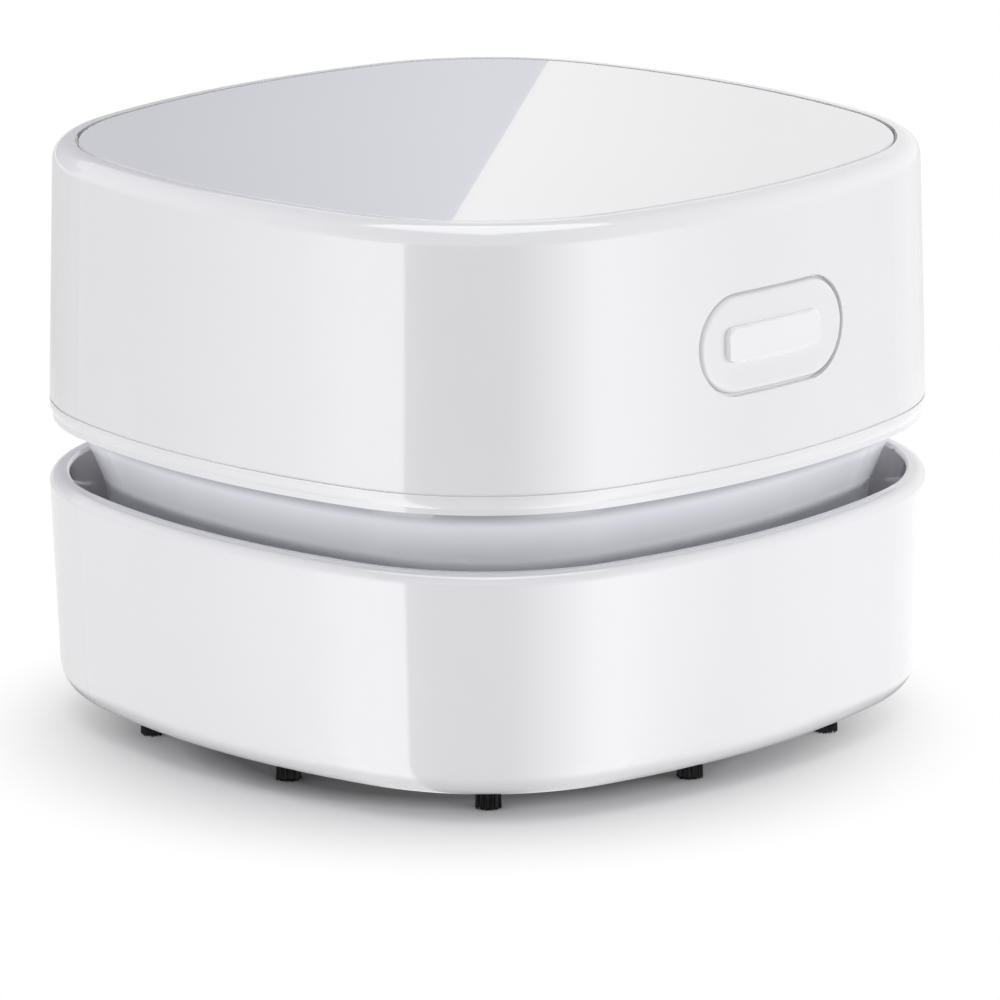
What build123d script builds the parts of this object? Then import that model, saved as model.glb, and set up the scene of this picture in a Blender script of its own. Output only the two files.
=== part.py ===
from build123d import *
import os
from math import atan2, cos, degrees, radians, sin, sqrt, tan

os.makedirs("parts", exist_ok=True)

# Desk vacuum cleaner. Millimetres, +Z up. The origin is on the table, under the middle of the body.
# The button faces -Y and the two cells lie along X.

# Plan outline shared by every shell
width = 84.0              # across the middles of opposite sides
side_radius = 87.5        # the sides bow outwards on this radius
corner_radius = 25.5

# Outside heights
bristle_show = 2.4        # bristles standing below the dust box
dust_box_height = 23.9
exhaust_gap = 6.1         # open height between dust box rim and base ring
ring_height = 2.2
lid_thickness = 1.2

# Shells
wall = 2.2
floor_thickness = 2.0
rim_overhang = 0.2        # the dust box rim stands this far outside the head
box_draft = 2.3           # degrees
head_draft = 1.7
box_bottom_radius = 3.5
box_rim_radius = 1.2
ring_edge_radius = 1.5
head_edge_radius = 2.0
reveal_width = 0.3        # depth of the groove between base ring and upper shell
reveal_height = 0.2
lip_height = 2.0
lip_thickness = 1.2
lid_border = 3.2          # from the plan outline to the edge of the lid opening
lid_gap = 0.25
lid_edge_radius = 0.4
ledge_width = 4.3
ledge_thickness = 1.6
skirt_depth = 1.0
skirt_thickness = 1.2

# Neck and fan housing
neck_inset = 5.9
neck_wall = 1.8
flare_height = 7.6
flare_angle = 23.5        # degrees
neck_blend = 10.0         # radius between the neck and its flare
slot_width = 2.0
slot_height = 3.4
slot_pitch = 4.0
slots_beside_post = 5

# Filter
shelf_depth = 10.6        # from the dust box rim down to the filter shelf
shelf_thickness = 1.6
shelf_overlap = 3.1
flange_thickness = 1.4
seal_thickness = 1.0
seal_width = 2.2
basket_depth = 4.0
basket_wall = 1.2
basket_clearance = 0.4
grid_bar = 1.2
grid_pitch = 10.4
mesh_thickness = 0.4

# Suction nozzle
nozzle_radius = 9.0
nozzle_wall = 1.4
nozzle_flange = 2.6
nozzle_gap = 1.6          # between the chimney's mouth and the filter basket

# Brush
brush_inset = 7.0         # from the plan outline to the tufts
brush_width = 4.4
brush_thickness = 2.6
brush_cover = 1.5         # dust box floor over the brush ring
tuft_count = 10
tuft_radius = 1.375
tuft_root = 2.2
tuft_start = 225.0        # degrees, the first tuft is under this corner

# Fan and motor
fan_cover_thickness = 1.6
fan_gap = 0.8
fan_side_gap = 3.6        # between the impeller and the screw posts
fan_eye = 14.5
shroud_thickness = 1.0
blade_height = 4.6
blade_thickness = 1.0
blade_count = 11
blade_start = 10.5        # radius of the blades' inner ends
blade_sweep = 50.0        # degrees from inner to outer end
blade_curve = 17.0        # radius of the blades' curve
backplate_thickness = 1.2
hub_radius = 4.0
guard_bar = 1.2
guard_rings = 2
guard_spokes = 6
motor_radius = 12.2
motor_length = 12.3
motor_boss_radius = 3.05
motor_boss_height = 1.2
motor_wall = 0.6
end_cap_thickness = 1.6
magnet_thickness = 2.1
rotor_gap = 0.5
rotor_length = 6.4
shaft_radius = 1.0
bush_radius = 2.0
bush_length = 2.4
cup_floor = 1.5
cup_wall = 1.5
motor_screw_circle = 8.0
terminal_width = 2.4
terminal_thickness = 0.4
terminal_length = 4.0

# Cells and their tray
cell_radius = 7.1         # AA cell
cell_length = 50.5
cell_tip_radius = 2.7
cell_tip_length = 1.3
cell_clearance = 0.2
cell_headroom = 2.4       # under the lid
tray_gap = 0.6            # between motor and tray
tray_floor = 1.2
tray_wall = 1.4
tray_flange = 1.4
finger_radius = 8.0       # scallops in the tray beside the cells
contact_thickness = 0.4
contact_half_width = 5.0
contact_drop = 4.5
contact_rise = 6.0
spring_length = 4.0
spring_wire = 0.3         # radius
spring_small = 2.4
spring_large = 3.6
spring_turns = 3

# Screws
screw_radius = 0.95
screw_head_radius = 1.7
screw_head_height = 1.2
screw_fit = 0.03
recess_length = 1.8       # cross recess in the screw heads
recess_width = 0.45
recess_depth = 0.6
post_radius = 2.6
boss_radius = 2.8
boss_inset = 11.8         # from the corner of the plan outline to each corner boss
web_thickness = 1.6
screw_length = 6.0

# Button and switch
button_length = 21.0
button_height = 10.3
button_drop = 1.3         # below the middle of the upper shell
button_gap = 0.25
button_lip = 0.6          # wall left round the button, in front of its flange
button_proud = 0.1
button_travel = 1.2
button_flange = 1.2
button_edge_radius = 0.7
bar_length = 13.6
bar_height = 3.8
bar_corner = 1.2
bar_lift = 0.15           # above the middle of the button
bar_shift = -0.5          # along X from the middle of the button
bar_proud = 0.6
bar_depth = 0.6
bar_edge_radius = 0.3
stem_radius = 2.5
stem_length = 3.2
plunger_radius = 1.5
plunger_show = 3.0
plunger_reach = 3.5
plunger_fit = 0.06
switch_width = 8.0
switch_depth = 6.5
board_width = 18.0
board_height = 14.0
board_thickness = 1.2
rail_width = 2.4
rail_depth = 4.0
rail_grip = 1.0
board_fit = 0.1

# Clearances
slide_fit = 0.15          # neck in the guide ribs, motor in its cup, lip in the shell
seat_gap = 0.05           # between faces that part when a piece is lifted off
running_fit = 0.03        # shaft in its bearings
guide_rib = 1.6
guide_rib_height = 4.6
guide_rib_place = 15.0

# Levels, worked out from the table upwards
box_bottom = bristle_show
rim_level = box_bottom + dust_box_height
ring_bottom = rim_level + exhaust_gap
seam_level = ring_bottom + ring_height
shelf_level = rim_level - shelf_depth
basket_bottom = shelf_level - basket_depth
nozzle_top = basket_bottom - nozzle_gap
flange_level = shelf_level + seat_gap
seal_level = flange_level + flange_thickness
housing_bottom = seal_level + seal_thickness + seat_gap
cover_level = housing_bottom + fan_cover_thickness
shroud_level = cover_level + fan_gap
blade_level = shroud_level + shroud_thickness
backplate_level = blade_level + blade_height
fan_top = backplate_level + backplate_thickness
cup_bottom = fan_top + fan_gap
motor_level = cup_bottom + cup_floor
motor_top = motor_level + motor_length
tray_level = motor_top + tray_gap
cell_axis = tray_level + tray_floor + cell_clearance + cell_radius
lid_level = cell_axis + cell_radius + cell_headroom
top_level = lid_level + lid_thickness
tray_top = lid_level - ledge_thickness
boss_top = tray_top - tray_flange
flare_level = ring_bottom - flare_height
button_level = (seam_level + top_level) / 2 - button_drop
bar_level = button_level + bar_lift

# Places that several pieces share
half_width = width / 2
side_centre = side_radius - half_width
side_reach = side_radius - corner_radius
corner_centre = (sqrt(2 * side_reach**2 - side_centre**2) - side_centre) / 2
corner_diagonal = corner_centre * sqrt(2) + corner_radius
ledge_inset = lid_border + ledge_width
shelf_inset = neck_inset + shelf_overlap
basket_inset = shelf_inset + basket_clearance
brush_level = box_bottom + brush_thickness
brush_outer = brush_inset - brush_width / 2
brush_inner = brush_inset + brush_width / 2
floor_level = box_bottom + floor_thickness
housing_inner = neck_inset + neck_wall
post_place = half_width - housing_inner - post_radius + screw_radius / 2
fan_radius = post_place - post_radius - fan_side_gap
boss_diagonal = corner_diagonal - boss_inset
boss_place = boss_diagonal / sqrt(2)
cell_y = cell_radius + cell_clearance
bay_length = cell_length + spring_length + 2 * contact_thickness
shell_y = half_width - (button_level - seam_level) * tan(radians(head_draft))
pocket_y = shell_y + button_proud - bar_depth
flange_y = shell_y - button_lip - seat_gap - button_flange
stem_y = flange_y - stem_length
switch_y = stem_y - plunger_show
board_y = switch_y - switch_depth
standing = (Align.CENTER, Align.CENTER, Align.MIN)
hanging = (Align.CENTER, Align.CENTER, Align.MAX)


def rounded_square(inset=0.0):
    # Four bowed sides joined by tangent corner arcs, all moved inwards by the inset
    meeting = degrees(atan2(corner_centre, corner_centre + side_centre))
    with BuildSketch() as plan:
        with BuildLine():
            for turn in range(0, 360, 90):
                side = Vector(-side_centre, 0).rotate(Axis.Z, turn)
                corner = Vector(corner_centre, corner_centre).rotate(Axis.Z, turn)
                CenterArc(side, side_radius - inset, turn - meeting, 2 * meeting)
                CenterArc(corner, corner_radius - inset, turn + meeting, 90 - 2 * meeting)
        make_face()
    return plan.sketch


def box_inset(level):
    # How far the outside of the dust box lies inside the plan outline at a level
    return (rim_level - level) * tan(radians(box_draft)) - rim_overhang


def head_block(bottom, top, inset):
    # The drafted body of the head between two levels, moved inwards by the inset
    start = inset + (bottom - seam_level) * tan(radians(head_draft))
    with BuildPart() as block:
        with BuildSketch(Plane.XY.offset(bottom)):
            add(rounded_square(start))
        extrude(amount=top - bottom, taper=head_draft)
    return block.part


def button_block(margin, depth):
    # The button's outline plus a margin, behind the drafted wall at a depth
    with BuildPart() as block:
        with BuildSketch(Plane.XZ.offset(half_width)):
            with Locations((0, button_level)):
                SlotOverall(button_length + 2 * margin, button_height + 2 * margin)
        extrude(amount=-3 * wall)
        add(head_block(seam_level, top_level, depth), mode=Mode.INTERSECT)
    return block.part


def brush_point(angle):
    # The point of the brush path in the direction of an angle from the centre
    path = rounded_square(brush_inset).wire()
    ray = Edge.make_line((0, 0), (width * cos(radians(angle)), width * sin(radians(angle))))
    return ray.intersect(path).vertices()[0].center()


def pan_screw(length):
    # Head above the local origin, shank below it
    with BuildPart() as screw:
        Cylinder(screw_head_radius, screw_head_height, align=standing)
        fillet(screw.edges().sort_by(Axis.Z)[-1], screw_head_height / 2)
        Cylinder(screw_radius, length, align=hanging)
        with Locations((0, 0, screw_head_height)):
            Box(recess_length, recess_width, recess_depth, align=hanging, mode=Mode.SUBTRACT)
            Box(recess_width, recess_length, recess_depth, align=hanging, mode=Mode.SUBTRACT)
    return screw.part


def flat_screw(length):
    # Countersunk head, flush with the local origin, shank below it
    cone = screw_head_radius - screw_radius
    with BuildPart() as screw:
        with Locations((0, 0, -cone)):
            Cone(screw_radius, screw_head_radius, cone, align=standing)
        Cylinder(screw_radius, length, align=hanging)
        Box(recess_length, recess_width, recess_depth, align=hanging, mode=Mode.SUBTRACT)
        Box(recess_width, recess_length, recess_depth, align=hanging, mode=Mode.SUBTRACT)
    return screw.part


tuft_step = 360 / tuft_count
tuft_places = [brush_point(tuft_start + tuft_step * n) for n in range(tuft_count)]
ring_screw_places = [brush_point(tuft_start + tuft_step * (n + 0.5)) for n in range(0, tuft_count, 2)]
side_places = [(post_place, 0), (0, post_place), (-post_place, 0), (0, -post_place)]
corner_places = [(x, y) for x in (-boss_place, boss_place) for y in (-boss_place, boss_place)]
motor_screw_places = [(0, -motor_screw_circle), (0, motor_screw_circle)]


# Lower shell: the dust box, with a shelf for the filter and a recess for the brush ring
with BuildPart() as lower_shell:
    with BuildSketch(Plane.XY.offset(box_bottom)):
        add(rounded_square(box_inset(box_bottom)))
    extrude(amount=dust_box_height, taper=-box_draft)
    fillet(lower_shell.edges().group_by(Axis.Z)[0], box_bottom_radius)
    fillet(lower_shell.edges().group_by(Axis.Z)[-1], box_rim_radius)
    with BuildSketch(Plane.XY.offset(shelf_level)):
        add(rounded_square(box_inset(shelf_level) + wall))
    extrude(amount=shelf_depth, taper=-box_draft, mode=Mode.SUBTRACT)
    fillet(lower_shell.faces().sort_by(Axis.Z)[-1].inner_wires()[0].edges(), box_rim_radius / 3)
    with BuildSketch(Plane.XY.offset(floor_level)):
        add(rounded_square(box_inset(floor_level) + wall))
    extrude(amount=shelf_level - shelf_thickness - floor_level, taper=-box_draft, mode=Mode.SUBTRACT)
    with BuildSketch(Plane.XY.offset(shelf_level)):
        add(rounded_square(shelf_inset))
    extrude(amount=-shelf_thickness, mode=Mode.SUBTRACT)
    with BuildSketch(Plane.XY.offset(floor_level)):
        add(rounded_square(box_inset(floor_level) + wall / 2))
        add(rounded_square(brush_inner + brush_cover), mode=Mode.SUBTRACT)
    extrude(amount=brush_level + brush_cover - floor_level)
    with BuildSketch(Plane.XY.offset(box_bottom)):
        add(rounded_square(brush_outer))
        add(rounded_square(brush_inner), mode=Mode.SUBTRACT)
    extrude(amount=brush_thickness, mode=Mode.SUBTRACT)
    with BuildSketch(Plane.XY.offset(brush_level)):
        with Locations(ring_screw_places):
            Circle(boss_radius)
    extrude(amount=screw_length)
    with BuildSketch(Plane.XY.offset(brush_level)):
        with Locations(ring_screw_places):
            Circle(screw_radius + screw_fit)
    extrude(amount=screw_length - brush_cover, mode=Mode.SUBTRACT)
    with BuildSketch(Plane.XY.offset(box_bottom)):
        Circle(nozzle_radius + nozzle_wall + screw_fit)
    extrude(amount=floor_thickness, mode=Mode.SUBTRACT)
    with BuildSketch(Plane.XY.offset(box_bottom)):
        Circle(nozzle_radius + nozzle_wall + nozzle_flange + screw_fit)
    extrude(amount=floor_thickness / 2, mode=Mode.SUBTRACT)
    with BuildSketch(Plane.XY.offset(shelf_level)):
        with Locations((-guide_rib_place, 0), (guide_rib_place, 0)):
            Rectangle(guide_rib, width)
        with Locations((0, -guide_rib_place), (0, guide_rib_place)):
            Rectangle(width, guide_rib)
        add(rounded_square(box_inset(shelf_level) + wall / 2), mode=Mode.INTERSECT)
        add(rounded_square(neck_inset - slide_fit), mode=Mode.SUBTRACT)
    extrude(amount=guide_rib_height)
lower_shell.part.label = "lower_shell"

# Suction nozzle: a flanged tube whose chimney keeps the dust from falling back out
with BuildPart() as suction_nozzle:
    with BuildSketch(Plane.XY.offset(box_bottom)):
        Circle(nozzle_radius + nozzle_wall + nozzle_flange)
    extrude(amount=floor_thickness / 2)
    with BuildSketch(Plane.XY.offset(box_bottom)):
        Circle(nozzle_radius + nozzle_wall)
    extrude(amount=nozzle_top - box_bottom)
    with BuildSketch(Plane.XY.offset(box_bottom)):
        Circle(nozzle_radius)
    extrude(amount=nozzle_top - box_bottom, mode=Mode.SUBTRACT)
    fillet(suction_nozzle.edges().group_by(Axis.Z)[-1], nozzle_wall / 3)
    chamfer(suction_nozzle.edges().group_by(Axis.Z)[0].sort_by(SortBy.RADIUS)[0], nozzle_wall / 2)
suction_nozzle.part.label = "suction_nozzle"

# Brush ring: carries the tufts in the underside of the dust box
with BuildPart() as brush_ring:
    with BuildSketch(Plane.XY.offset(box_bottom)):
        add(rounded_square(brush_outer + slide_fit))
        add(rounded_square(brush_inner - slide_fit), mode=Mode.SUBTRACT)
    extrude(amount=brush_thickness)
    with BuildSketch(Plane.XY.offset(box_bottom)):
        with Locations(tuft_places):
            Circle(tuft_radius + screw_fit)
    extrude(amount=tuft_root, mode=Mode.SUBTRACT)
    with Locations([Location((p.X, p.Y, box_bottom), (180, 0, 0)) for p in ring_screw_places]):
        CounterSinkHole(screw_radius + screw_fit, screw_head_radius + screw_fit, brush_thickness)
brush_ring.part.label = "brush_ring"

with BuildPart() as bristle_tufts:
    with BuildSketch():
        with Locations(tuft_places):
            Circle(tuft_radius)
    extrude(amount=box_bottom + tuft_root)
bristle_tufts.part.label = "bristle_tufts"

with BuildPart() as brush_ring_screws:
    with Locations([Location((p.X, p.Y, box_bottom), (180, 0, 0)) for p in ring_screw_places]):
        add(flat_screw(screw_length))
brush_ring_screws.part.label = "brush_ring_screws"

# Filter frame: a flange on the shelf and a shallow basket with a grid floor
with BuildPart() as filter_frame:
    with BuildSketch(Plane.XY.offset(flange_level)):
        add(rounded_square(neck_inset))
    extrude(amount=flange_thickness)
    with BuildSketch(Plane.XY.offset(basket_bottom)):
        add(rounded_square(basket_inset))
    extrude(amount=flange_level - basket_bottom)
    with BuildSketch(Plane.XY.offset(basket_bottom + grid_bar)):
        add(rounded_square(basket_inset + basket_wall))
    extrude(amount=seal_level - basket_bottom - grid_bar, mode=Mode.SUBTRACT)
    with BuildSketch(Plane.XY.offset(basket_bottom)):
        add(rounded_square(basket_inset + basket_wall))
        with GridLocations(grid_pitch, 0, 5, 1):
            Rectangle(grid_bar, width, mode=Mode.SUBTRACT)
        with GridLocations(0, grid_pitch, 1, 5):
            Rectangle(width, grid_bar, mode=Mode.SUBTRACT)
    extrude(amount=grid_bar, mode=Mode.SUBTRACT)
filter_frame.part.label = "filter_frame"

with BuildPart() as filter_mesh:
    with BuildSketch(Plane.XY.offset(basket_bottom + grid_bar)):
        add(rounded_square(basket_inset + basket_wall + screw_fit))
    extrude(amount=mesh_thickness)
filter_mesh.part.label = "filter_mesh"

with BuildPart() as filter_seal:
    with BuildSketch(Plane.XY.offset(seal_level)):
        add(rounded_square(neck_inset + slide_fit))
        add(rounded_square(neck_inset + slide_fit + seal_width), mode=Mode.SUBTRACT)
    extrude(amount=seal_thickness)
filter_seal.part.label = "filter_seal"

# Fan housing: the recessed neck, flared under the base ring, with exhaust slots low in its sides
with BuildPart() as fan_housing:
    with BuildSketch(Plane.XY.offset(housing_bottom)):
        add(rounded_square(neck_inset))
    extrude(amount=flare_level - housing_bottom)
    with BuildSketch(Plane.XY.offset(flare_level)):
        add(rounded_square(neck_inset))
    extrude(amount=flare_height, taper=-flare_angle)
    fillet(fan_housing.edges().group_by(Axis.Z)[2], neck_blend)
    with BuildSketch(Plane.XY.offset(housing_bottom)):
        add(rounded_square(housing_inner))
    extrude(amount=flare_level - housing_bottom, mode=Mode.SUBTRACT)
    with BuildSketch(Plane.XY.offset(flare_level)):
        add(rounded_square(housing_inner))
    extrude(amount=flare_height, taper=-flare_angle, mode=Mode.SUBTRACT)
    with BuildSketch(Plane.XY.offset(cover_level)):
        with Locations(side_places):
            Circle(post_radius)
    extrude(amount=ring_bottom - cover_level)
    with BuildSketch(Plane.XY.offset(cover_level)):
        with Locations(side_places):
            Circle(screw_radius + screw_fit)
    extrude(amount=ring_bottom - cover_level, mode=Mode.SUBTRACT)
    slot_places = [slot_pitch * n for n in range(-slots_beside_post, slots_beside_post + 1) if n != 0]
    slot_level = cover_level + fan_gap / 2 + slot_height / 2
    for side_plane in (Plane.XZ, Plane.YZ):
        with BuildSketch(side_plane):
            with Locations([(place, slot_level) for place in slot_places]):
                Rectangle(slot_width, slot_height)
        extrude(amount=width, both=True, mode=Mode.SUBTRACT)
fan_housing.part.label = "fan_housing"

# Fan cover: closes the housing from below, with a guard over the fan's eye
with BuildPart() as fan_cover:
    with BuildSketch(Plane.XY.offset(housing_bottom)):
        add(rounded_square(housing_inner + slide_fit))
    extrude(amount=fan_cover_thickness)
    with BuildSketch(Plane.XY.offset(housing_bottom)):
        Circle(fan_eye)
        for ring in range(1, guard_rings + 1):
            middle = fan_eye * ring / (guard_rings + 1)
            Circle(middle + guard_bar / 2, mode=Mode.SUBTRACT)
            Circle(middle - guard_bar / 2)
        with PolarLocations(0, guard_spokes // 2, angular_range=180, endpoint=False):
            Rectangle(2 * fan_eye, guard_bar, mode=Mode.SUBTRACT)
    extrude(amount=fan_cover_thickness, mode=Mode.SUBTRACT)
    with Locations([Location((x, y, housing_bottom), (180, 0, 0)) for x, y in side_places]):
        CounterSinkHole(screw_radius + screw_fit, screw_head_radius + screw_fit, fan_cover_thickness)
fan_cover.part.label = "fan_cover"

with BuildPart() as fan_cover_screws:
    with Locations([Location((x, y, housing_bottom), (180, 0, 0)) for x, y in side_places]):
        add(flat_screw(screw_length))
fan_cover_screws.part.label = "fan_cover_screws"

# Base ring: the band under the groove, the deck behind it, the motor cup and the switch rails
with BuildPart() as base_ring:
    with BuildSketch(Plane.XY.offset(ring_bottom)):
        add(rounded_square())
    extrude(amount=ring_height - reveal_height)
    fillet(base_ring.edges().group_by(Axis.Z)[0], ring_edge_radius)
    with BuildSketch(Plane.XY.offset(ring_bottom)):
        add(rounded_square(reveal_width))
    extrude(amount=ring_height, mode=Mode.ADD)
    with BuildSketch(Plane.XY.offset(seam_level)):
        add(rounded_square(wall + slide_fit))
        add(rounded_square(wall + slide_fit + lip_thickness), mode=Mode.SUBTRACT)
    extrude(amount=lip_height)
    with BuildSketch(Plane.XY.offset(cup_bottom)):
        Circle(motor_radius + slide_fit + cup_wall)
    extrude(amount=ring_bottom - cup_bottom)
    with BuildSketch(Plane.XY.offset(motor_level)):
        Circle(motor_radius + slide_fit)
    extrude(amount=seam_level - motor_level, mode=Mode.SUBTRACT)
    with BuildSketch(Plane.XY.offset(cup_bottom)):
        Circle(motor_boss_radius + slide_fit)
    extrude(amount=cup_floor, mode=Mode.SUBTRACT)
    with Locations([Location((x, y, cup_bottom), (180, 0, 0)) for x, y in motor_screw_places]):
        CounterSinkHole(screw_radius + screw_fit, screw_head_radius + screw_fit, cup_floor)
    with BuildSketch(Plane.XY.offset(ring_bottom)):
        with Locations(side_places + corner_places):
            Circle(screw_radius + screw_fit)
    extrude(amount=ring_height, mode=Mode.SUBTRACT)
    rail_x = board_width / 2 - rail_grip + rail_width / 2
    rail_y = -board_y + board_thickness / 2
    with BuildSketch(Plane.XY.offset(seam_level)):
        with Locations((-rail_x, rail_y), (rail_x, rail_y)):
            Rectangle(rail_width, rail_depth)
        with Locations((0, rail_y)):
            Rectangle(board_width + board_fit, board_thickness + board_fit, mode=Mode.SUBTRACT)
    extrude(amount=button_level + board_height / 2 - seam_level)
base_ring.part.label = "base_ring"

with BuildPart() as housing_screws:
    with Locations([(x, y, seam_level) for x, y in side_places]):
        add(pan_screw(ring_height + screw_length))
housing_screws.part.label = "housing_screws"

with BuildPart() as base_screws:
    with Locations([Location((x, y, ring_bottom), (180, 0, 0)) for x, y in corner_places]):
        add(pan_screw(ring_height + screw_length))
base_screws.part.label = "base_screws"

# Upper shell: drafted wall, rounded top rim with a ledge for the lid, and four corner bosses
with BuildPart() as upper_shell:
    add(head_block(seam_level, top_level, 0))
    fillet(upper_shell.edges().group_by(Axis.Z)[-1], head_edge_radius)
    add(head_block(seam_level, tray_top, wall), mode=Mode.SUBTRACT)
    with BuildSketch(Plane.XY.offset(tray_top)):
        add(rounded_square(ledge_inset))
    extrude(amount=ledge_thickness, mode=Mode.SUBTRACT)
    with BuildSketch(Plane.XY.offset(lid_level)):
        add(rounded_square(lid_border))
    extrude(amount=lid_thickness, mode=Mode.SUBTRACT)
    with BuildSketch(Plane.XY.offset(seam_level)):
        with Locations(corner_places):
            Circle(boss_radius)
    extrude(amount=boss_top - seam_level)
    web_level = seam_level + lip_height + slide_fit
    with BuildSketch(Plane.XY.offset(web_level)):
        with Locations((0, 0, 0)):
            Rectangle(2 * (boss_diagonal + corner_radius / 2), web_thickness, rotation=45)
            Rectangle(2 * (boss_diagonal + corner_radius / 2), web_thickness, rotation=-45)
        Circle(boss_diagonal, mode=Mode.SUBTRACT)
        add(rounded_square(wall / 2), mode=Mode.INTERSECT)
    extrude(amount=boss_top - web_level)
    with BuildSketch(Plane.XY.offset(seam_level)):
        with Locations(corner_places):
            Circle(screw_radius + screw_fit)
    extrude(amount=boss_top - seam_level, mode=Mode.SUBTRACT)
    with BuildSketch(Plane.XZ.offset(half_width + rim_overhang)):
        with Locations((0, button_level)):
            SlotOverall(button_length + 2 * button_gap, button_height + 2 * button_gap)
    extrude(amount=-3 * wall, mode=Mode.SUBTRACT)
    add(button_block(button_flange + button_gap, button_lip), mode=Mode.SUBTRACT)
upper_shell.part.label = "upper_shell"

# Lid: flush with the rim, a skirt locates it in the ledge and ribs stiffen it over the cells
with BuildPart() as lid:
    with BuildSketch(Plane.XY.offset(lid_level + seat_gap)):
        add(rounded_square(lid_border + lid_gap))
    extrude(amount=lid_thickness - seat_gap)
    fillet(lid.edges().group_by(Axis.Z)[-1], lid_edge_radius)
    with BuildSketch(Plane.XY.offset(lid_level + seat_gap)):
        add(rounded_square(ledge_inset + slide_fit))
        add(rounded_square(ledge_inset + slide_fit + skirt_thickness), mode=Mode.SUBTRACT)
    extrude(amount=-skirt_depth)
    with BuildSketch(Plane.XY.offset(lid_level + seat_gap)):
        with GridLocations(cell_length / 4, 0, 3, 1):
            Rectangle(skirt_thickness, 4 * cell_y)
    extrude(amount=-skirt_depth)
lid.part.label = "lid"

# Battery tray: a flange on the corner bosses and a well that cradles two cells side by side
with BuildPart() as battery_tray:
    with BuildSketch(Plane.XY.offset(boss_top)):
        add(rounded_square(ledge_inset + lid_gap))
    extrude(amount=tray_flange)
    with BuildSketch(Plane.XY.offset(tray_level)):
        Rectangle(bay_length + 2 * tray_wall, 4 * cell_y + 2 * tray_wall)
    extrude(amount=tray_top - tray_level)
    fillet(battery_tray.edges().filter_by(Axis.Z).group_by(SortBy.LENGTH)[-1], tray_wall)
    with BuildSketch(Plane.XY.offset(cell_axis)):
        Rectangle(bay_length, 4 * cell_y)
    extrude(amount=tray_top - cell_axis, mode=Mode.SUBTRACT)
    with BuildSketch(Plane.YZ.offset(-bay_length / 2)):
        with Locations((-cell_y, cell_axis), (cell_y, cell_axis)):
            Circle(cell_y)
    extrude(amount=bay_length, mode=Mode.SUBTRACT)
    with BuildSketch(Plane.XY.offset(cell_axis)):
        with Locations((0, -2 * cell_y), (0, 2 * cell_y)):
            Circle(finger_radius)
    extrude(amount=tray_top - cell_axis, mode=Mode.SUBTRACT)
    with BuildSketch(Plane.XY.offset(boss_top)):
        with Locations(corner_places):
            Circle(screw_radius + screw_fit)
    extrude(amount=tray_flange, mode=Mode.SUBTRACT)
battery_tray.part.label = "battery_tray"

with BuildPart() as tray_screws:
    with Locations([(x, y, tray_top) for x, y in corner_places]):
        add(pan_screw(tray_flange + screw_length))
tray_screws.part.label = "tray_screws"

# Contacts: two separate plates stand at +X, and at -X a bridge joins the cells
plate_x = (bay_length - contact_thickness) / 2
plate_level = cell_axis + (contact_rise - contact_drop) / 2
with BuildPart() as contact_plates:
    with Locations([(x, y, plate_level) for x in (-plate_x, plate_x) for y in (-cell_y, cell_y)]):
        Box(contact_thickness, 2 * contact_half_width, contact_drop + contact_rise)
    with Locations((-plate_x, 0, cell_axis + cell_clearance)):
        Box(contact_thickness, 2 * cell_y, contact_rise - cell_clearance, align=standing)
contact_plates.part.label = "contact_plates"

# One spring on the bridge for the front cell, one on the plate at +X for the rear cell
with BuildPart() as spring:
    rise = spring_length - 2 * spring_wire - 3 * seat_gap
    taper = degrees(atan2(spring_small - spring_large, rise))
    with BuildLine():
        coil = Helix(rise / spring_turns, rise, spring_large, center=(0, 0, spring_wire), cone_angle=taper)
    with BuildSketch(Plane(coil @ 0, z_dir=coil % 0)):
        Circle(spring_wire)
    sweep(is_frenet=True)
with BuildPart() as contact_springs:
    with Locations(Location((-bay_length / 2 + contact_thickness, -cell_y, cell_axis), (0, 90, 0))):
        add(spring.part)
    with Locations(Location((bay_length / 2 - contact_thickness, cell_y, cell_axis), (0, -90, 0))):
        add(spring.part)
contact_springs.part.label = "contact_springs"

# Motor: an open can with its front bearing boss, closed by the end cap
with BuildPart() as motor_can:
    with BuildSketch(Plane.XY.offset(motor_level)):
        Circle(motor_radius)
    extrude(amount=motor_length - end_cap_thickness)
    fillet(motor_can.edges().group_by(Axis.Z)[0], motor_wall)
    with BuildSketch(Plane.XY.offset(motor_level - motor_boss_height)):
        Circle(motor_boss_radius)
    extrude(amount=motor_boss_height)
    with BuildSketch(Plane.XY.offset(motor_level + motor_wall)):
        Circle(motor_radius - motor_wall)
    extrude(amount=motor_length, mode=Mode.SUBTRACT)
    with BuildSketch(Plane.XY.offset(motor_level - motor_boss_height)):
        Circle(bush_radius)
    extrude(amount=motor_length, mode=Mode.SUBTRACT)
    with BuildSketch(Plane.XY.offset(motor_level)):
        with Locations(motor_screw_places):
            Circle(screw_radius + screw_fit)
    extrude(amount=motor_wall, mode=Mode.SUBTRACT)
motor_can.part.label = "motor_can"

with BuildPart() as motor_bush:
    with BuildSketch(Plane.XY.offset(motor_level - motor_boss_height)):
        Circle(bush_radius)
        Circle(shaft_radius + running_fit, mode=Mode.SUBTRACT)
    extrude(amount=bush_length)
motor_bush.part.label = "motor_bush"

with BuildPart() as motor_screws:
    with Locations([Location((x, y, cup_bottom), (180, 0, 0)) for x, y in motor_screw_places]):
        add(flat_screw(cup_floor + 2 * motor_wall))
motor_screws.part.label = "motor_screws"

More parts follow.
